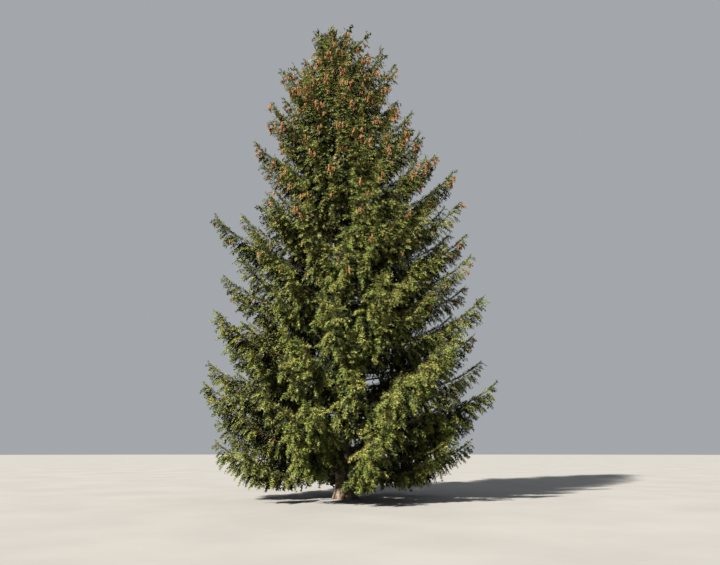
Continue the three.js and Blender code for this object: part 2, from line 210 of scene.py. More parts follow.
# Side twigs of a bough. Rolls and forks are in degrees
BARE_SHARE = (0.36, 0.04)  # of the reach, without green twigs: at the crown's foot, at its top
TWIG_SPACING = 0.155  # on each side
FEWEST_TWIGS = 8
TWIG_PLACES = (0.1, 0.9)  # where in its own step a twig may stand
TWIG_CROWDING = 0.72  # below 1 the twigs stand closer towards the tip
HANGING = (0.66, 0.52)  # the share of side twigs that hang: under the lowest boughs, under the highest
HANGING_UP_TO = 0.93  # none hangs nearer to the tip
HANGING_ROLL = (-85, -50)  # of the hanging twigs, where 0 is level and -90 is straight down
HANGING_LENGTH = 0.8  # of a level twig's
LEVEL_ROLL = (-18, 12)  # of the level twigs: the innermost, the outermost
LEVEL_ROLL_JITTER = 22
TWIG_FORK = (68, 38)  # between a twig and its bough: the innermost, the outermost
TWIG_FORK_JITTER = 8
FAN_WIDTH = (0.28, 0.23)  # longest side twig, as a share of the reach: main boughs, infill boughs
FAN_START = 0.5  # the innermost twigs, as a share of the longest
FAN_GAIN = 1.7  # how fast the twigs grow longer from there
FAN_LEAST = 0.07  # added to every twig, so that the outermost keep some length
TIP_POINT = 0.68  # above 0.5 the fan of side twigs narrows to a point
TWIG_LENGTHS = (0.75, 1.15)  # times the fan's, least and most
TWIG_LIMIT = 1.01  # how far out a twig's last spray may reach, as a share of the bough's reach
LEAST_OUTWARDS = 0.25  # a twig that points less far outwards counts as pointing this far
SPRAY_ROOM = 0.55  # of a spray, left free past a twig's end
SHORTEST_TWIG = 0.14
LOWEST_TWIG = 0.42  # above the ground, where a drooping twig levels out
TWIG_STATIONS = 7
DROOP = (0.25, 0.95)  # of the outermost twigs, and what the innermost add
DROOP_LOSS = (1.1, 0.8)  # times the droop at the ground, and how much less it is at the top of the tree
DROOP_JITTER = (-0.1, 0.25)
DROOP_WAVE = 0.62  # of half a wave, so that a twig's end levels out again
DROOP_TURN = 0.45  # how much of its first heading a drooping twig loses

# Sprays of needles on the twigs. Forks are in degrees
SPRAY_SPACING = 0.0705
SPRAY_CROWDING = (1.3, 0.82)  # times the spacing, on the twigs near the trunk and at a bough's tip
FEWEST_SPRAYS = 2
SPRAY_PLACES = (0.2, 1.0)  # where in its own step a spray may stand
LAST_SPRAY = 0.97  # where the spray at a twig's end begins
SPRAY_LENGTH = 0.31
SPRAY_LENGTHS = (0.8, 1.25)  # times the length, least and most
LENGTH_ALONG = (1.05, 0.85)  # times the length, at a twig's foot and at its end
SPRAY_STRETCH = ((0.1, 0.6, 1.0), (1.35, 1.05, 0.92))  # at these tones, times the length: the darkest sprays are the longest, a fill of painted shade inside the crown
SPRAY_FORK = (25, 12)  # between a side spray and its twig, and how much one may differ
SPRAY_FACING = 0.25  # how much the way that a spray faces may differ
SPRAY_HANG = 0.6  # how much a spray turns down from its twig
SPRAY_SWAY = 0.2

# A spray's tone, from about 0, dark, partly old needles and partly painted shade inside the crown, to
# about 1, light, partly fresh needles and partly painted sunlight towards the tips
# Painted light and shade: the tone rises towards a bough's tip and a twig's end and falls inside the crown
TONE_PLACE = 0.6  # what the place on the bough adds at the tip
TONE_BOUGH = 0.1  # how much whole boughs differ
TONE_TWIG = 0.22  # how much twigs differ
TONE_SPRAY = 0.32  # how much single sprays differ
TONE_ALONG = 0.35  # what the place on the twig adds at its end
TONE_HEIGHTS = ((0, 16, 18, 20), (0, 0.1, 0.06, -0.2))  # at these heights, what is added

# Sprays on a bough's own axis. Their lift and spread are rise and way aside for each run forward
AXIS_SPACING = 0.075
FEWEST_AXIS_SPRAYS = 8
AXIS_END = 0.995  # the place of the last one, as a share of the reach
AXIS_CROWDING = 0.6  # below 1 they stand closer towards the tip
AXIS_LIFT = (0.1, 0.75)
AXIS_SPREAD = (0.75, 0.45)  # at the trunk, at the tip
AXIS_SWAY = 0.15
AXIS_FACING = 0.35
AXIS_LENGTHS = (0.75, 1.1)
AXIS_TONE = (0.2, 0.6)  # at the trunk, and what the tip adds
AXIS_TONE_JITTER = 0.45
TIP_LENGTH = 1.25  # of the spray that ends a bough, times the usual length
TIP_FACING = 0.3
TIP_TONE = 1.3

# Sprays round the leader
LEADER_SPRAYS = 44
LEADER_FOOT = 0.3  # how far below the trunk's tip they begin
LEADER_TIP = 0.34  # the length of the topmost spray
LEADER_LENGTHS = (1.0, 0.7)  # times that, from the lowest to the topmost
LEADER_SPREADS = (0.95, 0.3)  # how far a spray leans out for its rise, from the lowest to the topmost
LEADER_FACING = 0.2
LEADER_TONE = 0.75  # at the top

# The shape of a spray, for a length of 1
SPRAY_KINDS = 6
BLADE_END = [(0.5, 0, 0.04), (0.62, -0.045, -0.02), (1, 0, 0), (0.62, 0.045, -0.02)]
TEETH_FROM = 0.02
TEETH_TO = 0.72
TOOTH_SHIFT = 0.5  # how far a tooth may stand off its even place, in steps from tooth to tooth
TOOTH_LENGTH = (0.36, 0.08)  # of a tooth, and how much one may differ
TOOTH_LOSS = 0.6  # how much shorter the teeth grow for their way along the blade
TOOTH_LOSS_FROM = 0.25
TOOTH_FORK = (41, 10)  # degrees from the middle line, and how much one may differ
TOOTH_TILT = (0.42, 0.28)  # rise for run above the middle line, and how much one may differ
TOOTH_TILT_BELOW = 0.8  # of that, for the teeth below the middle line
TOOTH_TWIST = 32  # degrees, at most, that a tooth's foot is turned out of the middle line

# Cones
CONE_LENGTH = 0.165
CONE_RADIUS = 0.032
CONE_SIDES = 5
CONE_ROWS = 3
CONE_SCALE = ((0.0, 0.62), (0.8, 1.0))  # where a row of scales begins and stands out most, with its girths
CONE_ENDS = (0.16, 0.9)  # of half a wave, which gives the girth along the cone
CONE_FULLNESS = 0.7
CONE_SIZES = (0.8, 1.12)
CONE_SWING = 0.22
CONE_FACING = (1.5, 0, 0)  # a random way is added to it
CONE_STALK = (0.02, 0.09)  # how far below its twig a cone begins
CONE_OUTWARDS = (0.03, 0.16)
CONE_JITTER = 0.05
CONE_WAVES = 26  # radians of the wave of groups along a bough
CONE_WAVE_SHIFT = 40  # how much that wave differs from bough to bough
CONE_WAVE_EDGE = 0.1  # cones hang only where it is above this
CONES_ON_TWIG = (0.55, 1.0)  # the stretch of a twig that carries them
CONES_TOGETHER = (2, 7)  # the fewest, and one more than the most
CONE_HEIGHTS = (4.5, 8.0, 11.5, 14.0, 20.0)
CONE_CHANCES = (0.0, 0.14, 0.42, 0.85, 1.0)  # that an outer twig carries some, at these heights
CONES_ALONG = ((0.45, 0.8, 0.9), (0.0, 0.7, 1.2))  # at these places along a bough, times the chance

# Wood and bark
TWIG_RADIUS = (0.0035, 0.006)  # of a twig's foot, and what each metre of length adds
TWIG_TAPER = (1.0, 0.65)  # at its foot and halfway
TWIG_WOOD_STEP = 3  # the wood follows each third station of a twig's line
TWIG_SIDES = 3
LIMB_STATIONS = np.array([0.0, 0.03, 0.07, 0.14, 0.25, 0.4, 0.55, 0.7, 0.85, 1.0])
LIMB_SIDES = 5
UPRIGHT = 0.9  # where a limb's direction has a larger upright part, its rings are turned from +X
TRUNK_SIDES = 72
FINE_RINGS = 0.035  # height between two rings up to FINE_UP_TO
FINE_UP_TO = 2.6
COARSE_RINGS = 0.12  # above it
PLATE_SPACING = 0.085
PLATE_STRETCH = 1.5  # plates are this much taller than wide
PLATE_HEIGHT = 0.011
CRACK_WIDTH = 0.02

EDGE_MARGIN = 0.02  # how far past the solids' box a spray may reach
UP = np.array([0.0, 0.0, 1.0])
rng = np.random.default_rng(SEED)


# Small helpers for arrays of vectors


def unit(vectors):
    return vectors / np.linalg.norm(vectors, axis=-1, keepdims=True)


def mix(a, b, share):
    """What lies that share of the way from a to b."""
    return a + (b - a) * share


def within(limit, count):
    """Random numbers from -limit to limit."""
    return rng.uniform(-limit, limit, count)


def jitter(count, limit):
    """Random vectors, each part of them from -limit to limit."""
    return within(limit, (count, 3))


def in_turn(count):
    """-1 and 1 in turn."""
    return np.where(np.arange(count) % 2, 1.0, -1.0)


def seeded(seed):
    """A linear congruential generator of numbers from -1 to 1, the same one as in the solids."""
    state = seed * 2654435761 % 2**32

    def draw():
        nonlocal state
        state = (state * 1664525 + 1013904223) % 2**32
        return state / 2**32 * 2 - 1

    return draw


def joined(groups):
    """Several Twigs, or several Sprays, as one."""
    kind = type(groups[0])
    names = [field.name for field in fields(kind)]
    return kind(*(np.concatenate([getattr(group, name) for group in groups]) for name in names))


def repeated(triangles, count, corners):
    """The triangles of a shape once for each of its copies, which have that many corners each."""
    return (triangles[None] + (np.arange(count) * corners)[:, None, None]).reshape(-1, 3)


def copies(shape, roots, axes):
    """A shape's points and triangles once for each root, along its own axes."""
    corners, triangles = shape
    points = roots[:, None, :] + np.einsum("vk,nkd->nvd", corners, axes)
    return points.reshape(-1, 3), repeated(triangles, len(roots), len(corners))


def stacked(groups):
    """Several (points, triangles) as one."""
    points, triangles, offset = [], [], 0
    for group_points, group_triangles in groups:
        points.append(group_points)
        triangles.append(group_triangles + offset)
        offset += len(group_points)
    return np.concatenate(points), np.concatenate(triangles)


# The trunk's axis and the boughs' layout, as in the solids


@dataclass
class Bough:
    azimuth: float  # degrees from +X towards +Y
    tip: float  # the tip's height above the ground
    reach: float  # from the trunk to the tip, level
    main: bool  # whether the solids have it too

    def __post_init__(self):
        share = self.tip / HEIGHT
        self.start = LOW_SLOPES[0] + SLOPE_GAIN[0] * share ** SLOPE_POWER[0]
        self.end = LOW_SLOPES[1] + SLOPE_GAIN[1] * share ** SLOPE_POWER[1]
        self.bare = mix(*BARE_SHARE, share)
        self.hook = mix(*HOOK, share**2)
        lowered = 0 if self.main else self.hook
        self.root = self.tip - self.reach * ((self.start + self.end) / 2 + lowered)
        turn = math.radians(self.azimuth)
        self.out = np.array([math.cos(turn), math.sin(turn), 0.0])
        self.side = np.cross(UP, self.out)
        self.phase = turn * WANDER_TURN


def trunk_centre(height):
    """The middle of the trunk at this height, or at each of these heights."""
    height = np.asarray(height, float)[..., None]
    return height * np.array([LEAN, 0.0, 1.0])


def trunk_radius(height):
    left = np.maximum(0, 1 - height / TRUNK_TOP)
    return TIP_RADIUS + STEM_RADIUS * left**STEM_TAPER + FLARE_RADIUS * np.exp(-height / FLARE_HEIGHT)


def crown_reach(tip, azimuth):
    """How far a main bough reaches whose tip is at this height and azimuth."""
    profile = (1 - (tip / HEIGHT) ** CROWN_POWER) ** CROWN_ROUNDING
    below = max(0, 1 - tip / LOW_CROWN)
    away = (1 - math.cos(math.radians(azimuth))) / 2
    thin = THIN_SIDE * away * math.exp(-(((tip - THIN_HEIGHT) / THIN_SPAN) ** 2))
    return CROWN_RADIUS * profile * (1 - LOW_CROWN_TUCK * below) * (1 - thin)


def apart(bough, shown):
    """How far apart the tips of two boughs are."""
    turn = math.radians(bough[0] - shown[0]) / 2
    return math.hypot(bough[1] - shown[1], 2 * bough[2] * math.sin(turn))


def main_boughs():
    """The spiral of main boughs, in which each outline bough takes the place of the nearest one."""
    layout = []
    tip = LOWEST_TIP
    while tip < HIGHEST_TIP:
        draw = seeded(SEED + len(layout))
        azimuth = FIRST_AZIMUTH + len(layout) * GOLDEN_ANGLE + AZIMUTH_JITTER * draw()
        layout.append((azimuth, tip, crown_reach(tip, azimuth) * (1 + REACH_JITTER * draw())))
        step = max(LEAST_SPACING, BOUGH_SPACING * crown_reach(tip, 0))
        tip += LOW_TIER_STEP if len(layout) < LOW_TIER else step
    for shown in OUTLINE_BOUGHS:
        free = [bough for bough in layout if bough not in OUTLINE_BOUGHS]
        nearest = min(free, key=lambda bough: apart(bough, shown))
        layout[layout.index(nearest)] = shown
    return [Bough(*bough, main=True) for bough in layout]


def notch_reach(tip, azimuth):
    """How far the crown reaches between its tips, at this height and azimuth."""
    heights, right, left = np.array(NOTCHES[::-1]).T
    towards = (1 + math.cos(math.radians(azimuth))) / 2
    return mix(np.interp(tip, heights, left), np.interp(tip, heights, right), towards)


def infill_boughs():
    """A closer spiral of boughs that reach as far as the notches, and at times as far as the crown."""
    boughs = []
    tip = INFILL_LOWEST
    while tip < INFILL_HIGHEST:
        azimuth = INFILL_AZIMUTH + len(boughs) * GOLDEN_ANGLE + INFILL_AZIMUTH_JITTER * rng.uniform(-1, 1)
        reach = notch_reach(tip, azimuth) * rng.uniform(*INFILL_REACH)
        edge = abs(math.cos(math.radians(azimuth))) > EDGE_COSINE
        if len(boughs) % LONG_INFILL == 0 and not edge and tip < LONG_INFILL_HIGHEST:
            reach = crown_reach(tip, azimuth) * rng.uniform(*LONG_INFILL_REACH)
        boughs.append(Bough(azimuth, tip, reach, main=False))
        step = max(INFILL_LEAST_SPACING, INFILL_SPACING * crown_reach(tip, 0))
        tip += step * rng.uniform(*INFILL_STEPS)
    return boughs


def axis_points(bough, shares):
    """Points on a bough's line at these shares of its reach."""
    shares = np.asarray(shares, float)[..., None]
    bend = (bough.end - bough.start) / 2
    hook = bough.hook * np.maximum(0, (shares - HOOK_FROM) / (1 - HOOK_FROM)) ** 2
    rise = bough.reach * (bough.start * shares + bend * shares**2 + hook)
    wave = np.sin(WANDER_TURN * shares + bough.phase)
    swing = WANDER * bough.reach * wave * shares * (1 - shares) * 4  # at its fullest halfway along
    return trunk_centre(bough.root) + bough.out * bough.reach * shares + UP * rise + bough.side * swing


def axis_directions(bough, shares):
    slope = mix(bough.start, bough.end, np.asarray(shares, float)[..., None])
    return unit(bough.out + UP * slope)


# Side twigs: where each leaves its bough, its first heading, how long it is and how far it droops


@dataclass
class Twigs:
    base: np.ndarray
    heading: np.ndarray
    length: np.ndarray
    droop: np.ndarray
    out: np.ndarray  # away from the trunk, level
    place: np.ndarray  # along the bough, from 0 at the first green twig to 1 at the tip
    tone: np.ndarray  # one draw for all the twigs of a bough

    def __len__(self):
        return len(self.length)


def side_twigs(bough):
    """The twigs of a bough's green part, level ones on both sides and hanging ones under it."""
    bare = bough.bare
    count = max(FEWEST_TWIGS, int(bough.reach * (1 - bare) / TWIG_SPACING * 2))
    place = ((np.arange(count) + rng.uniform(*TWIG_PLACES, count)) / count) ** TWIG_CROWDING
    shares = bare + (1 - bare) * place
    youth = bough.tip / HEIGHT
    hangs = (rng.random(count) < mix(*HANGING, youth)) & (place < HANGING_UP_TO)
    hanging_roll = rng.uniform(*HANGING_ROLL, count)
    level_roll = mix(*LEVEL_ROLL, place) + within(LEVEL_ROLL_JITTER, count)
    roll = np.radians(np.where(hangs, hanging_roll, level_roll))
    fork = np.radians(mix(*TWIG_FORK, place) + within(TWIG_FORK_JITTER, count))
    forward = axis_directions(bough, shares)
    above = np.cross(forward, bough.side)
    across = bough.side * (in_turn(count) * np.cos(roll))[:, None] + above * np.sin(roll)[:, None]
    heading = unit(forward * np.cos(fork)[:, None] + across * np.sin(fork)[:, None])
    profile = np.minimum(1, FAN_START + FAN_GAIN * place) * (1 - place) ** TIP_POINT + FAN_LEAST
    length = bough.reach * FAN_WIDTH[0 if bough.main else 1] * profile * rng.uniform(*TWIG_LENGTHS, count)
    outwards = np.maximum(LEAST_OUTWARDS, heading @ bough.out)
    room = bough.reach * (TWIG_LIMIT - shares) / outwards - SPRAY_ROOM * SPRAY_LENGTH
    length *= np.where(hangs, HANGING_LENGTH, 1)
    length = np.clip(length, SHORTEST_TWIG, np.maximum(SHORTEST_TWIG, room))
    droop = (DROOP[0] + DROOP[1] * (1 - place)) * (DROOP_LOSS[0] - DROOP_LOSS[1] * youth)
    droop += rng.uniform(*DROOP_JITTER, count)
    return Twigs(
        base=axis_points(bough, shares),
        heading=heading,
        length=length,
        droop=droop,
        out=np.tile(bough.out, (count, 1)),
        place=place,
        tone=np.full(count, rng.uniform(-1, 1)),
    )


def twig_lines(twigs):
    """The stations of each twig's line, (twigs, stations, 3): it droops, and its end levels out again."""
    steps = (np.arange(TWIG_STATIONS - 1) + 0.5) / (TWIG_STATIONS - 1)
    fall = twigs.droop[:, None] * np.sin(steps * math.pi * DROOP_WAVE)
    kept = 1 - DROOP_TURN * np.clip(fall, 0, 1)
    headings = twigs.heading[:, None, :] * kept[..., None] - UP * fall[..., None]
    moves = unit(headings) * (twigs.length / (TWIG_STATIONS - 1))[:, None, None]
    base = twigs.base[:, None, :]
    lines = np.concatenate([base, base + np.cumsum(moves, axis=1)], axis=1)
    lines[..., 2] = np.maximum(lines[..., 2], LOWEST_TWIG)
    return lines


# Sprays of needles: a root, the way each grows, the way it faces and its length


@dataclass
class Sprays:
    root: np.ndarray
    along: np.ndarray
    facing: np.ndarray
    length: np.ndarray
    tone: np.ndarray  # from dark, old and partly painted shade, to light, fresh and partly painted light

    def __len__(self):
        return len(self.length)

    def only(self, kept):
        return Sprays(*(getattr(self, field.name)[kept] for field in fields(Sprays)))


def twig_sprays(twigs, lines):
    """Sprays in turn on either side of each twig, and one at its end."""
    crowding = mix(*SPRAY_CROWDING, twigs.place)
    counts = np.maximum(FEWEST_SPRAYS, (twigs.length / SPRAY_SPACING / crowding).astype(int))
    owner = np.repeat(np.arange(len(twigs)), counts)
    count = len(owner)
    turn = np.arange(count) - np.repeat(np.cumsum(counts) - counts, counts)
    last = turn == counts[owner] - 1
    where = np.where(last, LAST_SPRAY, (turn + rng.uniform(*SPRAY_PLACES, count)) / counts[owner])
    station = np.minimum((where * (TWIG_STATIONS - 1)).astype(int), TWIG_STATIONS - 2)
    part = where * (TWIG_STATIONS - 1) - station
    start, end = lines[owner, station], lines[owner, station + 1]
    tangent = unit(end - start)
    upright = np.abs(tangent[:, 2:])
    facing = unit(UP * (1 - upright) + twigs.out[owner] * upright + jitter(count, SPRAY_FACING))
    across = unit(np.cross(facing, tangent))
    side = np.where(turn % 2, 1.0, -1.0)
    fork = np.radians(np.where(last, 0, SPRAY_FORK[0]) + within(SPRAY_FORK[1], count))
    along = tangent * np.cos(fork)[:, None] + across * (side * np.sin(fork))[:, None]
    along = unit(along - UP * SPRAY_HANG + jitter(count, SPRAY_SWAY))
    length = SPRAY_LENGTH * rng.uniform(*SPRAY_LENGTHS, count) * mix(*LENGTH_ALONG, where)
    # Painted light and shade: lighter towards the bough's tip and the twig's end, darker inside the crown
    own = TONE_PLACE * twigs.place + TONE_BOUGH * twigs.tone + np.interp(twigs.base[:, 2], *TONE_HEIGHTS)
    own += within(TONE_TWIG, len(twigs))
    tone = own[owner] + TONE_ALONG * where + within(TONE_SPRAY, count)
    return Sprays(
        root=mix(start, end, part[:, None]),
        along=along,
        facing=facing,
        length=length * np.interp(tone, *SPRAY_STRETCH),
        tone=tone,
    )


def axis_sprays(bough):
    """Sprays on the upper side of a bough's own axis, closer at its tip, and the spray that ends it."""
    count = max(FEWEST_AXIS_SPRAYS, int(bough.reach * (1 - bough.bare) / AXIS_SPACING))
    place = mix(bough.bare, AXIS_END, ((np.arange(count) + 0.5) / count) ** AXIS_CROWDING)
    forward = axis_directions(bough, place)
    sideways = bough.side * in_turn(count)[:, None] * mix(*AXIS_SPREAD, place)[:, None]
    lift = rng.uniform(*AXIS_LIFT, count)[:, None]
    along = unit(forward + sideways + UP * lift + jitter(count, AXIS_SWAY))
    length = SPRAY_LENGTH * rng.uniform(*AXIS_LENGTHS, count)
    # Painted light and shade: lighter towards the bough's tip, darker near the trunk
    tone = AXIS_TONE[0] + AXIS_TONE[1] * place + within(AXIS_TONE_JITTER, count)
    tip = SPRAY_LENGTH * TIP_LENGTH
    end = axis_directions(bough, [1.0])
    last = Sprays(
        root=axis_points(bough, [1.0]) - end * tip,
        along=end,
        facing=UP[None] + jitter(1, TIP_FACING),
        length=np.array([tip]),
        tone=np.array([TIP_TONE]),
    )
    row = Sprays(axis_points(bough, place), along, UP + jitter(count, AXIS_FACING), length, tone)
    return joined([row, last])


def leader_sprays():
    """Sprays round the leader, from the trunk's tip to the top of the tree, and the one that ends it."""
    share = (np.arange(LEADER_SPRAYS) + 0.5) / LEADER_SPRAYS
    turn = np.radians(GOLDEN_ANGLE * np.arange(LEADER_SPRAYS))
    out = np.stack([np.cos(turn), np.sin(turn), np.zeros(LEADER_SPRAYS)], axis=1)
    around = Sprays(
        root=trunk_centre(mix(TRUNK_TOP - LEADER_FOOT, HEIGHT - LEADER_TIP, share)),
        along=unit(out * mix(*LEADER_SPREADS, share)[:, None] + UP),
        facing=out + jitter(LEADER_SPRAYS, LEADER_FACING),
        length=LEADER_TIP * mix(*LEADER_LENGTHS, share),
        tone=LEADER_TONE * share,
    )
    top = trunk_centre([HEIGHT - LEADER_TIP, HEIGHT])
    end = Sprays(
        root=top[:1],
        along=unit(top[1:] - top[:1]),
        facing=jitter(1, 1.0),
        length=np.array([LEADER_TIP]),
        tone=np.array([1.0]),
    )
    return joined([around, end])


# The shape of a spray: a middle line that ends in a blade, with narrow teeth of needles on both sides


def spray_shape(kind, teeth, foot):
    """The blade at the end, and teeth on both sides of the middle line, in turn above and below it."""
    draw = seeded(SEED + kind)
    corners = [list(corner) for corner in BLADE_END]
    faces = [(0, 1, 2), (0, 2, 3)]
    for tooth in range(2 * teeth):
        side = 1 if tooth % 2 else -1
        x = mix(TEETH_FROM, TEETH_TO, (tooth + TOOTH_SHIFT * draw()) / (2 * teeth - 1))
        left = 1 - TOOTH_LOSS * max(0, x - TOOTH_LOSS_FROM)
        length = (TOOTH_LENGTH[0] + TOOTH_LENGTH[1] * draw()) * left
        turn = math.radians(TOOTH_FORK[0] + TOOTH_FORK[1] * draw())
        tilt = (TOOTH_TILT[0] + TOOTH_TILT[1] * draw()) * (1 if tooth % 4 < 2 else -TOOTH_TILT_BELOW)
        twist = math.radians(TOOTH_TWIST * draw())
        first = len(corners)
        corners.append([x, 0, 0])
        corners.append([x + foot * math.cos(twist), 0, foot * math.sin(twist)])
        corners.append([x + length * math.cos(turn), side * length * math.sin(turn), tilt * length])
        faces.append((first, first + 1, first + 2) if side > 0 else (first, first + 2, first + 1))
    return np.array(corners, float), np.array(faces)


def placed(shape, sprays):
    """The shape once for each spray, as one list of points and one of triangles."""
    forward = unit(sprays.along)
    across = unit(np.cross(sprays.facing, forward))
    above = np.cross(forward, across)
    axes = np.stack([forward, across, above], axis=1) * sprays.length[:, None, None]
    return copies(shape, sprays.root, axes)


# Cones


def cone_shape():
    """A hanging cone, its root at the origin: rows of scales, each standing out over the next one down."""
    rings = []
    for row in range(CONE_ROWS):
        for part, width in CONE_SCALE:
            share = (row + part) / CONE_ROWS
            rings.append((share, width * math.sin(math.pi * mix(*CONE_ENDS, share)) ** CONE_FULLNESS))
    corners, faces = [], []
    for level, (share, girth) in enumerate(rings):
        radius = CONE_RADIUS * girth
        half = 0.5 * (level // 2 % 2)  # every other row is turned by half a side
        for side in range(CONE_SIDES):
            turn = (side + half) / CONE_SIDES * 2 * math.pi
            corners.append([radius * math.cos(turn), radius * math.sin(turn), -share * CONE_LENGTH])
            if level:
                here = level * CONE_SIDES + side
                after = level * CONE_SIDES + (side + 1) % CONE_SIDES
                faces.append((here, after, after - CONE_SIDES))
                faces.append((here, after - CONE_SIDES, here - CONE_SIDES))
    last = len(corners) - CONE_SIDES
    point = len(corners)
    corners.append([0, 0, -CONE_LENGTH])
    faces += [(last + side, point, last + (side + 1) % CONE_SIDES) for side in range(CONE_SIDES)]
    return np.array(corners), np.array(faces)


def cone_places(twigs, lines):
    """Clusters of cones under the outer ends of twigs: many at the top, fewer below, none low down."""
    together = np.sin(CONE_WAVES * twigs.place + CONE_WAVE_SHIFT * twigs.tone) > CONE_WAVE_EDGE
    along = np.interp(twigs.place, *CONES_ALONG)
    chance = np.interp(lines[:, -1, 2], CONE_HEIGHTS, CONE_CHANCES) * along * together
    chosen = np.flatnonzero(rng.random(len(twigs)) < chance)
    owner = np.repeat(chosen, rng.integers(*CONES_TOGETHER, len(chosen)))
    count = len(owner)
    where = rng.uniform(*CONES_ON_TWIG, count) * (TWIG_STATIONS - 1)
    station = np.minimum(where.astype(int), TWIG_STATIONS - 2)
    on_twig = mix(lines[owner, station], lines[owner, station + 1], (where - station)[:, None])
    out = twigs.out[owner] * rng.uniform(*CONE_OUTWARDS, count)[:, None]
    roots = on_twig + out - UP * rng.uniform(*CONE_STALK, count)[:, None] + jitter(count, CONE_JITTER)
    return roots[roots[:, 2] < HEIGHT - LEADER_TIP]


def hung(shape, roots):
    """The shape hung from each root, turned and swung a little."""
    count = len(roots)
    down = unit(jitter(count, CONE_SWING) - UP)
    across = unit(np.cross(down, unit(jitter(count, 1.0) + CONE_FACING)))
    size = rng.uniform(*CONE_SIZES, count)[:, None, None]
    return copies(shape, roots, np.stack([across, np.cross(-down, across), -down], axis=1) * size)


# Limbs and the trunk


def ring_faces(rings, sides):
    """The triangles between rings of corners, each ring above the one before."""
    ring = np.arange(sides)
    low = (np.arange(rings - 1)[:, None] * sides + ring).ravel()
    after = (np.arange(rings - 1)[:, None] * sides + (ring + 1) % sides).ravel()
    first = np.stack([low, after, after + sides], axis=-1)
    second = np.stack([low, after + sides, low + sides], axis=-1)
    return np.concatenate([first, second])


def tubes(lines, radii, sides):
    """Limbs along lines (limbs, stations, 3) with radii (limbs, stations - 1), each ending in a point."""
    count, stations = lines.shape[:2]
    tangent = unit(np.gradient(lines, axis=1))[:, :-1]
    reference = np.where(np.abs(tangent[..., 2:]) > UPRIGHT, [1.0, 0.0, 0.0], UP)
    across = unit(np.cross(reference, tangent))
    above = np.cross(tangent, across)
    turn = np.arange(sides) / sides * 2 * math.pi
    rim = across[:, :, None] * np.cos(turn)[:, None] + above[:, :, None] * np.sin(turn)[:, None]
    rings = lines[:, :-1, None] + rim * radii[:, :, None, None]
    points = np.concatenate([rings.reshape(count, -1, 3), lines[:, -1:]], axis=1)
    last = (stations - 2) * sides
    low = last + np.arange(sides)
    after = last + (np.arange(sides) + 1) % sides
    tip = np.full(sides, (stations - 1) * sides)
    triangles = np.concatenate([ring_faces(stations - 1, sides), np.stack([low, after, tip], axis=-1)])
    return points.reshape(-1, 3), repeated(triangles, count, points.shape[1])


def twig_tubes(twigs, lines):
    root_radius = TWIG_RADIUS[0] + TWIG_RADIUS[1] * twigs.length
    return tubes(lines[:, ::TWIG_WOOD_STEP], root_radius[:, None] * np.array(TWIG_TAPER), TWIG_SIDES)


def limb_radii(bough):
    """A bough's radii from its collar to the last station before its tip."""
    shares = LIMB_STATIONS[:-1]
    girth = LIMB_RADIUS if bough.main else INFILL_GIRTH * LIMB_RADIUS
    collar = 1 + COLLAR_SWELLING * np.exp(-((bough.reach * shares / COLLAR_LENGTH) ** 2))
    return bough.reach * girth * (1 - LIMB_TAPER * shares) * collar


def limb_tubes(boughs):
    limb_lines = np.array([axis_points(bough, LIMB_STATIONS) for bough in boughs])
    return tubes(limb_lines, np.array([limb_radii(bough) for bough in boughs]), LIMB_SIDES)


def plate_place(angle, height):
    return (STEM_RADIUS * math.cos(angle), STEM_RADIUS * math.sin(angle), height / PLATE_STRETCH)


def bark_plates(heights, turn):
    """How far the bark stands out at each height and turn: full on a plate, nothing in a crack."""
    girth = 2 * math.pi * STEM_RADIUS
    count = int(TRUNK_TOP * girth / (PLATE_STRETCH * PLATE_SPACING**2))
    plates = KDTree(count)
    for plate in range(count):
        angle, height = rng.uniform(0, 2 * math.pi), rng.uniform(0, TRUNK_TOP)
        plates.insert(plate_place(angle, height), plate)
    plates.balance()
    relief = np.zeros((len(heights), len(turn)))
    for row, height in enumerate(heights):
        for column, angle in enumerate(turn):
            (_, _, near), (_, _, next_near) = plates.find_n(plate_place(angle, height), 2)
            relief[row, column] = min(1, (next_near - near) / CRACK_WIDTH)
    return PLATE_HEIGHT * relief


def trunk_surface():
    """The trunk with root lobes near the ground, and plates of bark with cracks between them."""
    fine = np.arange(0.0, FINE_UP_TO, FINE_RINGS)
    heights = np.concatenate([fine, np.arange(FINE_UP_TO, TRUNK_TOP, COARSE_RINGS), [TRUNK_TOP]])
    turn = np.arange(TRUNK_SIDES) / TRUNK_SIDES * 2 * math.pi
    fade = np.exp(-heights / FLARE_HEIGHT)
    lobes = 1 + FLARE_LOBE_DEPTH * fade[:, None] * np.cos(FLARE_LOBES * turn)
    radius = trunk_radius(heights)[:, None] * lobes
    radius += bark_plates(heights, turn) * np.minimum(1, trunk_radius(heights) / STEM_RADIUS)[:, None]
    around = np.stack([np.cos(turn), np.sin(turn), np.zeros(TRUNK_SIDES)], axis=-1)
    points = (trunk_centre(heights)[:, None] + around * radius[..., None]).reshape(-1, 3)
    ends = np.concatenate([trunk_centre([0.0]), trunk_centre([HEIGHT - LEADER_TIP])])
    ring = np.arange(TRUNK_SIDES)
    after = (ring + 1) % TRUNK_SIDES
    top = (len(heights) - 1) * TRUNK_SIDES
    foot = np.stack([after, ring, np.full(TRUNK_SIDES, len(points))], axis=-1)
    tip = np.stack([top + ring, top + after, np.full(TRUNK_SIDES, len(points) + 1)], axis=-1)
    triangles = np.concatenate([ring_faces(len(heights), TRUNK_SIDES), foot, tip])
    return np.concatenate([points, ends]), triangles


# Objects


def linked(name, data):
    made = bpy.data.objects.new(name, data)
    bpy.context.scene.collection.objects.link(made)
    return made


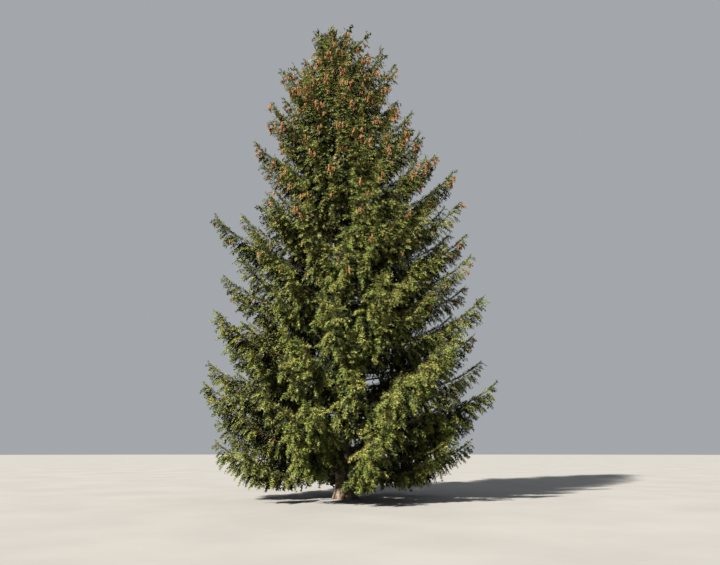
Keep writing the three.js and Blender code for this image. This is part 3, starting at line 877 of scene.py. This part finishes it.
def mesh_object(name, points, triangles, material, smooth=False):
    """A mesh of arrays of points and triangles, on an object in the scene."""
    mesh = bpy.data.meshes.new(name)
    mesh.vertices.add(len(points))
    mesh.vertices.foreach_set("co", np.asarray(points, np.float32).ravel())
    mesh.loops.add(3 * len(triangles))
    mesh.loops.foreach_set("vertex_index", np.asarray(triangles, np.int32).ravel())
    mesh.polygons.add(len(triangles))
    mesh.polygons.foreach_set("loop_start", np.arange(len(triangles), dtype=np.int32) * 3)
    mesh.polygons.foreach_set("use_smooth", np.full(len(triangles), smooth))
    mesh.update(calc_edges=True)
    mesh.materials.append(material)
    return linked(name, mesh)


# Materials

# From the oldest sprays, inside the crown, to the freshest: their share of all the sprays, the teeth on
# either side of a spray, how broad a tooth's foot is, the piece's name and its two colours. The dark
# colours inside the crown are partly painted shade, the light ones at the tips partly painted sunlight
NEEDLE_TONES = [
    # Painted shade: the darkest sprays have few broad teeth, a dark fill inside the crown
    (0.23, 3, 0.34, "needles_old_and_painted_shade", 0x191E0B, 0x252C10),
    (0.22, 4, 0.22, "needles_shade", 0x3F4B1F, 0x5A5E2B),
    (0.21, 6, 0.135, "needles_mid", 0x637231, 0x7E7E39),
    (0.2, 6, 0.12, "needles_olive", 0x6E7B3A, 0x868444),
    (0.14, 6, 0.105, "needles_fresh_and_painted_light", 0x707B40, 0x87864B),
]
WHITE = 0xFFFFFF
NEEDLE_ROUGHNESS = 0.65
NEEDLE_SHEEN = 0.14
NEEDLE_PATCHES = 2.5  # about so many to the metre, like all patches here
NEEDLE_PATCH_DETAIL = 3
NEEDLE_GRAIN = 20
NEEDLE_GRAIN_DETAIL = 2
NEEDLE_EDGES = (0.38, 0.62)
GRAIN_TONES = (0x6E726C, WHITE)
NEEDLE_RELIEF = (0.35, 0.01)  # strength and depth, like all reliefs here

PATCH_EDGES = (0.36, 0.64)
PATCH_DETAIL = 6
PATCH_SHEEN = 0.3
CONE_COLOURS = (0x432A16, 0x92633A)
CONE_PATCHES = 18
CONE_ROUGHNESS = 0.75
TWIG_COLOURS = (0x463423, 0x6A4E36)
TWIG_PATCHES = 6
TWIG_ROUGHNESS = 0.8

# Colours of the cracks, which darken what they cross, of the plates and of the crust
LIMB_COLOURS = (0x6A5A50, 0x4C4036, 0x6E6459)
TRUNK_COLOURS = (0x5A4A40, 0x584636, 0x83796C)
BARK_ROUGHNESS = 0.9
BARK_SHEEN = 0.2
BARK_CELLS = 26
BARK_CELL_STRETCH = (1, 1, 0.6)
CRACK_EDGES = (0.0, 0.12)
CRUST_PATCHES = 5
CRUST_DETAIL = 8
CRUST_EDGES = (0.42, 0.62)
BARK_RELIEF = (0.6, 0.03)


def colour(code):
    """A linear colour from a hexadecimal one, by the sRGB curve."""
    parts = [(code >> shift & 255) / 255 for shift in (16, 8, 0)]
    return [p / 12.92 if p <= 0.04045 else ((p + 0.055) / 1.055) ** 2.4 for p in parts] + [1.0]


def shaded(name, roughness, specular):
    """A new material with its nodes, links and shader."""
    material = bpy.data.materials.new(name)
    material.use_nodes = True
    shader = material.node_tree.nodes["Principled BSDF"]
    shader.inputs["Roughness"].default_value = roughness
    shader.inputs["Specular IOR Level"].default_value = specular
    return material, material.node_tree.nodes, material.node_tree.links, shader


def noise_node(nodes, links, scale, detail):
    """Soft patches, of which there are about scale to the metre."""
    place = nodes.new("ShaderNodeTexCoord")
    noise = nodes.new("ShaderNodeTexNoise")
    noise.inputs["Scale"].default_value = scale
    noise.inputs["Detail"].default_value = detail
    links.new(place.outputs["Object"], noise.inputs["Vector"])
    return noise


def cell_node(nodes, links, scale, stretch):
    """Cells, and how far each place is from the edge of its cell."""
    place = nodes.new("ShaderNodeTexCoord")
    stretched = nodes.new("ShaderNodeMapping")
    stretched.inputs["Scale"].default_value = stretch
    cells = nodes.new("ShaderNodeTexVoronoi")
    cells.feature = "DISTANCE_TO_EDGE"
    cells.inputs["Scale"].default_value = scale
    links.new(place.outputs["Object"], stretched.inputs["Vector"])
    links.new(stretched.outputs["Vector"], cells.inputs["Vector"])
    return cells


def ramp_node(nodes, links, source, edges, codes):
    """A ramp fed by a value, from one colour code to another between two edges."""
    ramp = nodes.new("ShaderNodeValToRGB")
    for element, position, code in zip(ramp.color_ramp.elements, edges, codes):
        element.position = position
        element.color = colour(code)
    links.new(source, ramp.inputs["Fac"])
    return ramp


# The mix node's sockets for colours
MIX_SHARE = 0
MIX_FIRST = 6
MIX_SECOND = 7
MIX_RESULT = 2


def multiplied(nodes, links, first, second):
    """One colour darkened by another."""
    mixer = nodes.new("ShaderNodeMix")
    mixer.data_type = "RGBA"
    mixer.blend_type = "MULTIPLY"
    mixer.inputs[MIX_SHARE].default_value = 1.0
    links.new(first, mixer.inputs[MIX_FIRST])
    links.new(second, mixer.inputs[MIX_SECOND])
    return mixer.outputs[MIX_RESULT]


def bumped(nodes, links, shader, source, relief):
    bump = nodes.new("ShaderNodeBump")
    bump.inputs["Strength"].default_value, bump.inputs["Distance"].default_value = relief
    links.new(source, bump.inputs["Height"])
    links.new(bump.outputs["Normal"], shader.inputs["Normal"])


def two_tone(name, colours, scale, roughness):
    """A surface whose colour drifts between two tones in soft patches."""
    material, nodes, links, shader = shaded(name, roughness, PATCH_SHEEN)
    noise = noise_node(nodes, links, scale, PATCH_DETAIL)
    ramp = ramp_node(nodes, links, noise.outputs["Fac"], PATCH_EDGES, colours)
    links.new(ramp.outputs["Color"], shader.inputs["Base Color"])
    return material


def needle_material(name, colours):
    """Needles: soft patches of two tones, a finer grain of light and dark over them, and a dull sheen."""
    material, nodes, links, shader = shaded(name, NEEDLE_ROUGHNESS, NEEDLE_SHEEN)
    patches = noise_node(nodes, links, NEEDLE_PATCHES, NEEDLE_PATCH_DETAIL)
    tones = ramp_node(nodes, links, patches.outputs["Fac"], NEEDLE_EDGES, colours)
    grain = noise_node(nodes, links, NEEDLE_GRAIN, NEEDLE_GRAIN_DETAIL)
    light = ramp_node(nodes, links, grain.outputs["Fac"], NEEDLE_EDGES, GRAIN_TONES)
    blended = multiplied(nodes, links, tones.outputs["Color"], light.outputs["Color"])
    links.new(blended, shader.inputs["Base Color"])
    bumped(nodes, links, shader, grain.outputs["Fac"], NEEDLE_RELIEF)
    return material


def bark_material(name, colours):
    """Bark: dark cracks round small plates, the plates drifting between brown and a pale grey crust."""
    crack, *plate_and_crust = colours
    material, nodes, links, shader = shaded(name, BARK_ROUGHNESS, BARK_SHEEN)
    cells = cell_node(nodes, links, BARK_CELLS, BARK_CELL_STRETCH)
    crust = noise_node(nodes, links, CRUST_PATCHES, CRUST_DETAIL)
    tones = ramp_node(nodes, links, crust.outputs["Fac"], CRUST_EDGES, plate_and_crust)
    gaps = ramp_node(nodes, links, cells.outputs["Distance"], CRACK_EDGES, (crack, WHITE))
    blended = multiplied(nodes, links, tones.outputs["Color"], gaps.outputs["Color"])
    links.new(blended, shader.inputs["Base Color"])
    bumped(nodes, links, shader, cells.outputs["Distance"], BARK_RELIEF)
    return material


# The boughs with all that grows on them


def free_boughs(layout):
    return [Bough(*bough, main=False) for bough in layout]


def needle_sprays(boughs, twigs, lines):
    """All the sprays that keep to the solids' box and clear of the ground."""
    groups = [twig_sprays(twigs, lines), leader_sprays()]
    groups += [axis_sprays(bough) for bough in boughs]
    sprays = joined(groups)
    tips = sprays.root + unit(sprays.along) * sprays.length[:, None]
    boxed = np.all((tips > cad_low - EDGE_MARGIN) & (tips < cad_high + EDGE_MARGIN), axis=1)
    return sprays.only(boxed & (tips[:, 2] > GROUND_CLEARANCE))


def needle_objects(sprays):
    """One piece for each of NEEDLE_TONES, with the sprays dealt out in the order of their tones."""
    order = np.argsort(sprays.tone, kind="stable")
    ends = np.cumsum([tone[0] for tone in NEEDLE_TONES])[:-1] * len(sprays)
    pieces = []
    for part, (_, teeth, foot, name, *colours) in zip(np.split(order, ends.astype(int)), NEEDLE_TONES):
        kinds = [sprays.only(part[kind::SPRAY_KINDS]) for kind in range(SPRAY_KINDS)]
        shapes = [placed(spray_shape(kind, teeth, foot), those) for kind, those in enumerate(kinds)]
        pieces.append(mesh_object(name, *stacked(shapes), needle_material(name, colours)))
    return pieces


boughs = main_boughs() + free_boughs(EDGE_BOUGHS) + infill_boughs() + free_boughs(BACK_BOUGHS)
twigs = joined([side_twigs(bough) for bough in boughs])
lines = twig_lines(twigs)
needle_pieces = needle_objects(needle_sprays(boughs, twigs, lines))

cone_scales = two_tone("cone_scales", CONE_COLOURS, CONE_PATCHES, CONE_ROUGHNESS)
cone_piece = mesh_object("cones", *hung(cone_shape(), cone_places(twigs, lines)), cone_scales)

twig_wood = two_tone("twig_wood", TWIG_COLOURS, TWIG_PATCHES, TWIG_ROUGHNESS)
limb_bark = bark_material("limb_bark", LIMB_COLOURS)
trunk_bark = bark_material("trunk_bark", TRUNK_COLOURS)
twig_piece = mesh_object("twigs", *twig_tubes(twigs, lines), twig_wood)
limb_piece = mesh_object("boughs", *limb_tubes(boughs), limb_bark, smooth=True)
trunk_piece = mesh_object("trunk_bark", *trunk_surface(), trunk_bark, smooth=True)

# The foliage masses are replaced by all the needles
nodes = frame["nodes"]
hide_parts("trunk")
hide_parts(*(name for name in nodes if name.startswith("bough_")))
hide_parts(*(name for name in nodes if name.startswith("foliage_")))
for piece in (*needle_pieces, cone_piece, twig_piece, limb_piece, trunk_piece):
    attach(piece, "root")

# The floor, the light and the camera. Angles are in degrees

FLOOR_RADIUS = 400
FLOOR_SIDES = 96
FLOOR_COLOURS = (0x82817F, 0x888785)
FLOOR_PATCHES = 0.3
FLOOR_ROUGHNESS = 0.9
SKY_COLOUR = (0.87, 0.92, 0.97, 1)
SKY_STRENGTH = 0.42
SUN_STRENGTH = 16
SUN_WIDTH = 2
SUN_COLOUR = (1.0, 0.94, 0.85)
SUN_TURN = (58, 0, -40)
CAMERA_LENS = 30
CAMERA_SENSOR = 36
CAMERA_RANGE = 1000
CAMERA_PLACE = (0.54, -22.66, 1.6)
CAMERA_TILT = 15.775  # above the level

bpy.ops.mesh.primitive_circle_add(vertices=FLOOR_SIDES, radius=FLOOR_RADIUS, fill_type="NGON")
floor = bpy.context.object
floor.name = "floor"
floor.data.materials.append(two_tone("floor", FLOOR_COLOURS, FLOOR_PATCHES, FLOOR_ROUGHNESS))
floor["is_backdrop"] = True

world = bpy.data.worlds.new("studio")
world.use_nodes = True
world.node_tree.nodes["Background"].inputs["Color"].default_value = SKY_COLOUR
world.node_tree.nodes["Background"].inputs["Strength"].default_value = SKY_STRENGTH
bpy.context.scene.world = world

key = bpy.data.lights.new("key", "SUN")
key.energy = SUN_STRENGTH
key.angle = math.radians(SUN_WIDTH)
key.color = SUN_COLOUR
linked("key", key).rotation_euler = [math.radians(turn) for turn in SUN_TURN]

bpy.context.scene.view_settings.view_transform = "Standard"

camera = bpy.data.cameras.new("camera")
camera.lens = CAMERA_LENS
camera.sensor_width = CAMERA_SENSOR
camera.clip_end = CAMERA_RANGE
camera_object = linked("camera", camera)
camera_object.location = CAMERA_PLACE
camera_object.rotation_euler = (math.radians(90 + CAMERA_TILT), 0, 0)
bpy.context.scene.camera = camera_object

bpy.context.view_layer.update()
